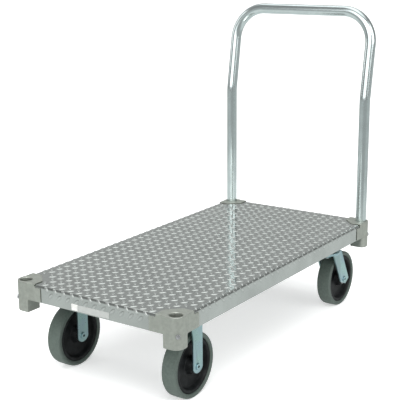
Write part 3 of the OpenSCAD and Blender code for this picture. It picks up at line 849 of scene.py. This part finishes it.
class TRUCK_OT_handle(bpy.types.Operator):
    """Bend the push handle's tube"""

    bl_idname = "truck.handle"
    bl_label = "Push handle"

    def execute(self, context):
        """A circle carried along the centreline outside, back along it inside, and closed at
        both ends, so that the tube has its real wall."""
        handle = settings("truck_handle")
        path, normal = handle_path(handle, *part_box("push_handle"))
        tangent = np.gradient(path, axis=0)
        tangent /= np.linalg.norm(tangent, axis=1)[:, None]
        side = np.cross(tangent, normal)
        turn = np.linspace(0, 2 * math.pi, TUBE_SIDES, endpoint=False)
        ring = normal[:, None] * np.cos(turn)[:, None] + side[:, None] * np.sin(turn)[:, None]
        outer = path[:, None] + ring * handle.tube_radius
        inner = path[:, None] + ring * (handle.tube_radius - handle.wall)
        points = np.concatenate([outer, inner[::-1]])
        faces = grid_faces(len(points), TUBE_SIDES, True, True)
        piece = make_object("bent_tube_handle", points.reshape(-1, 3), faces.tolist())
        run = np.concatenate([[0], np.cumsum(np.linalg.norm(np.diff(path, axis=0), axis=1))])
        run = np.concatenate([run, run[::-1]])
        row, column = np.divmod(faces, TUBE_SIDES)
        last = (column == 0) & (column.max(axis=1)[:, None] == TUBE_SIDES - 1)
        around = np.where(last, TUBE_SIDES, column) * (2 * math.pi * handle.tube_radius / TUBE_SIDES)
        uv = np.stack([run[row], around], axis=-1)
        layer = piece.data.uv_layers.new(name="along")
        layer.data.foreach_set("uv", uv.reshape(-1).astype(np.float32))
        face_outwards(piece)
        finish_piece(piece, body_of_node("push_handle"), slot_of_node("push_handle"), drawn_tube(),
                     "push_handle")
        return {"FINISHED"}


# ---------- label ----------

class TRUCK_OT_label(bpy.types.Operator):
    """Make the blank label plate on the front edge"""

    bl_idname = "truck.label"
    bl_label = "Label plate"

    def execute(self, context):
        """A rounded rectangle with softened edges, as thick as its solid."""
        low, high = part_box("label_plate")
        middle = (low + high) / 2
        half_w, half_h = (high.x - low.x) / 2, (high.z - low.z) / 2
        corners = [(-half_w, -half_h), (half_w, -half_h), (half_w, half_h), (-half_w, half_h)]
        corner, edge_depth, edge_width = 3 * MM, 0.25 * MM, 0.3 * MM
        outline = rounded(corners, corner)
        depth = np.array([high.y, low.y + edge_depth, low.y])
        shrink = np.array([0, 0, edge_width])
        grown = outline[None] - np.sign(outline)[None] * shrink[:, None, None]
        points = np.stack([
            middle.x + grown[..., 0], np.broadcast_to(depth[:, None], grown.shape[:2]),
            middle.z + grown[..., 1]], axis=-1)
        count = len(outline)
        faces = grid_faces(3, count, False, True).tolist()
        faces += [list(range(count)), list(range(3 * count - 1, 2 * count - 1, -1))]
        piece = make_object("blank_label_plate", points.reshape(-1, 3), faces, smooth=False)
        face_outwards(piece)
        finish_piece(piece, body_of_node("label_plate"), "label",
                     painted_label(low.x + LABEL_FIELD), "label_plate")
        return {"FINISHED"}


# ---------- stage ----------

def soft_light(name, place, target, size, power):
    """A rectangular soft box at a place, turned to a target."""
    lamp = bpy.data.lights.new(name, "AREA")
    lamp.shape = "RECTANGLE"
    lamp.size, lamp.size_y = size
    lamp.energy = power
    made = bpy.data.objects.new(name, lamp)
    bpy.context.scene.collection.objects.link(made)
    made.location = place
    made.rotation_mode = "QUATERNION"
    made.rotation_quaternion = (Vector(target) - Vector(place)).to_track_quat("-Z", "Y")


def facing(azimuth):
    """The level direction at an azimuth, where 0 is straight in front of the truck."""
    return math.sin(azimuth), -math.cos(azimuth), 0.0


def studio_world():
    """A pale room: a tall soft wall of light in front, of two panels with a gap, greyer walls
    round the rest, darkest at both sides, and a bright ceiling.

    Limits on front are cosines of the angle from the wall's middle, and those on height are
    sines of the angle above the floor. The camera itself sees plain white.
    """
    stage = settings("truck_stage")
    world = bpy.data.worlds.new("studio")
    bpy.context.scene.world = world
    world.use_nodes = True
    tree = world.node_tree
    direction = add(tree, "TexCoord", output="Generated")
    height = add(tree, "SeparateXYZ", direction, output="Z")
    flat = add(tree, "VectorMath", direction, (1, 1, 0), operation="MULTIPLY")
    heading = add(tree, "VectorMath", flat, operation="NORMALIZE")
    front = add(tree, "VectorMath", heading, facing(stage.wall_azimuth), operation="DOT_PRODUCT")
    middle = add(tree, "VectorMath", heading, facing(stage.gap_azimuth), operation="DOT_PRODUCT")
    wide = add(tree, "MapRange", front, 0.3, 0.45)
    above_foot = add(tree, "MapRange", height, 0.06, 0.11)
    below_top = add(tree, "MapRange", height, 0.85, 0.65)
    off_gap = add(tree, "MapRange", middle, 0.985, 0.965)
    window = stage.front_wall
    for share in (wide, above_foot, below_top, off_gap):
        window = add(tree, "Math", window, share, operation="MULTIPLY")
    walls = add(tree, "MapRange", front, -0.45, -0.85, stage.side_wall, stage.back_wall)
    lowered = add(tree, "Math", height, add(tree, "MapRange", front, -0.6, -0.9, 0.0, 0.2))
    overhead = add(tree, "MapRange", lowered, 0.86, 0.98)
    room = add(tree, "Mix", overhead, walls, stage.ceiling)
    seen = add(tree, "LightPath", output="Is Camera Ray")
    total = add(tree, "Mix", seen, add(tree, "Math", room, window), 1.0)
    background = tree.nodes["Background"]
    background.inputs["Color"].default_value = linear("F9FBFB")
    tree.links.new(total, background.inputs["Strength"])


def paper_floor():
    """White paper, lit evenly. Where metal mirrors it, it shows a painted reflection as grey as an unlit
    studio floor: one grey towards the light wall, another elsewhere, both with a painted shadow under the
    truck.

    Limits on away and out are metres from the truck's middle, and those on side are cosines.
    """
    stage = settings("truck_stage")
    material, tree, shader, place = start_material("white_paper_floor")
    tone = add(tree, "MapRange", blotches(tree, place, 0.6, detail=1.0), 0, 1, 0.86, 0.9)
    finish_material(tree, shader, {
        "Roughness": 0.9, "Specular IOR Level": 0.1, "Emission Strength": stage.floor_glow,
        "Emission Color": (1, 1, 1, 1)}, {"Base Color": add(tree, "CombineColor", tone, tone, tone)})
    around = add(tree, "VectorMath", place, operation="NORMALIZE")
    side = add(tree, "VectorMath", around, facing(stage.wall_azimuth), operation="DOT_PRODUCT")
    away = add(tree, "VectorMath", place, operation="LENGTH")
    towards_light = add(tree, "MapRange", side, 0.5, 0.9)
    clear_of_truck = add(tree, "MapRange", away, 0.9, 1.3)
    lit_side = add(tree, "Math", towards_light, clear_of_truck, operation="MULTIPLY")
    sides = add(tree, "MapRange", away, 1.9, 2.6, stage.floor_side, stage.floor_far)
    narrowed = add(tree, "VectorMath", place, (1, 0.5, 0), operation="MULTIPLY")
    out = add(tree, "VectorMath", narrowed, operation="LENGTH")
    # painted shadow: the floor that metal mirrors is darker under the truck
    open_share = add(tree, "MapRange", out, 0.25, 0.42, stage.floor_under, 1.0)
    grey = add(tree, "Mix", lit_side, sides, stage.floor_front)
    grey = add(tree, "Math", grey, open_share, operation="MULTIPLY")
    unlit = add(tree, "Emission", linear("F6FBFA"), grey)
    mirrored = add(tree, "LightPath", output="Is Glossy Ray")
    both = add(tree, "MixShader", mirrored, shader.outputs["BSDF"], unlit)
    tree.links.new(both, tree.nodes["Material Output"].inputs["Surface"])
    return material


class TRUCK_OT_stage(bpy.types.Operator):
    """Set up the floor, the soft lights and the camera"""

    bl_idname = "truck.stage"
    bl_label = "Stage"

    def execute(self, context):
        """Pale floor, studio world, two soft boxes and the camera."""
        stage = settings("truck_stage")
        corners = [(x * FLOOR_REACH, y * FLOOR_REACH, 0) for x, y in ((-1, -1), (1, -1), (1, 1), (-1, 1))]
        floor = make_object("floor", corners, [[0, 1, 2, 3]])
        floor.data.materials.append(paper_floor())
        studio_world()
        middle = (CAD_BOX[0] + CAD_BOX[1]) / 2
        soft_light("key_soft_box", KEY_PLACE, middle, KEY_SIZE, stage.key_power)
        soft_light("fill_soft_box", FILL_PLACE, middle, FILL_SIZE, stage.fill_power)
        level_back = Vector(facing(stage.azimuth)) * math.cos(stage.elevation)
        back = level_back + Vector((0, 0, math.sin(stage.elevation)))
        right = Vector((math.cos(stage.azimuth), math.sin(stage.azimuth), 0))
        up = back.cross(right)
        turned = Matrix.Rotation(stage.roll, 3, back)
        axes = Matrix((turned @ right, turned @ up, back)).transposed()
        camera = bpy.data.objects.new("camera", bpy.data.cameras.new("camera"))
        context.scene.collection.objects.link(camera)
        camera.matrix_world = Matrix.Translation(stage.camera_place) @ axes.to_4x4()
        camera.data.lens = stage.lens
        camera.data.clip_end = 100
        context.scene.camera = camera
        context.scene.view_settings.view_transform = "Standard"
        return {"FINISHED"}


OPERATORS = (
    TRUCK_OT_stage, TRUCK_OT_tread, TRUCK_OT_castings, TRUCK_OT_under_frame, TRUCK_OT_casters,
    TRUCK_OT_wheels, TRUCK_OT_handle, TRUCK_OT_label,
)


class TRUCK_PT_panel(bpy.types.Panel):
    """Lists the truck's pieces and their sizes"""

    bl_label = "Platform truck"
    bl_idname = "TRUCK_PT_panel"
    bl_space_type = "VIEW_3D"
    bl_region_type = "UI"
    bl_category = "Truck"

    def draw(self, context):
        """One button for each operator, then every setting."""
        for operator in OPERATORS:
            self.layout.operator(operator.bl_idname)
        for name, group in SETTINGS.items():
            box = self.layout.box()
            for key in group.__annotations__:
                box.prop(getattr(context.scene, name), key)


CLASSES = (*SETTINGS.values(), *OPERATORS, TRUCK_PT_panel)


def register():
    """Registers the classes and gives the scene its settings."""
    for made in CLASSES:
        bpy.utils.register_class(made)
    for name, group in SETTINGS.items():
        setattr(bpy.types.Scene, name, bpy.props.PointerProperty(type=group))


def unregister():
    """Takes the settings and the classes away again."""
    for name in SETTINGS:
        delattr(bpy.types.Scene, name)
    for made in reversed(CLASSES):
        bpy.utils.unregister_class(made)


def main():
    register()
    for operator in OPERATORS:
        getattr(bpy.ops.truck, operator.bl_idname.split(".")[1])()


if __name__ == "__main__":
    main()
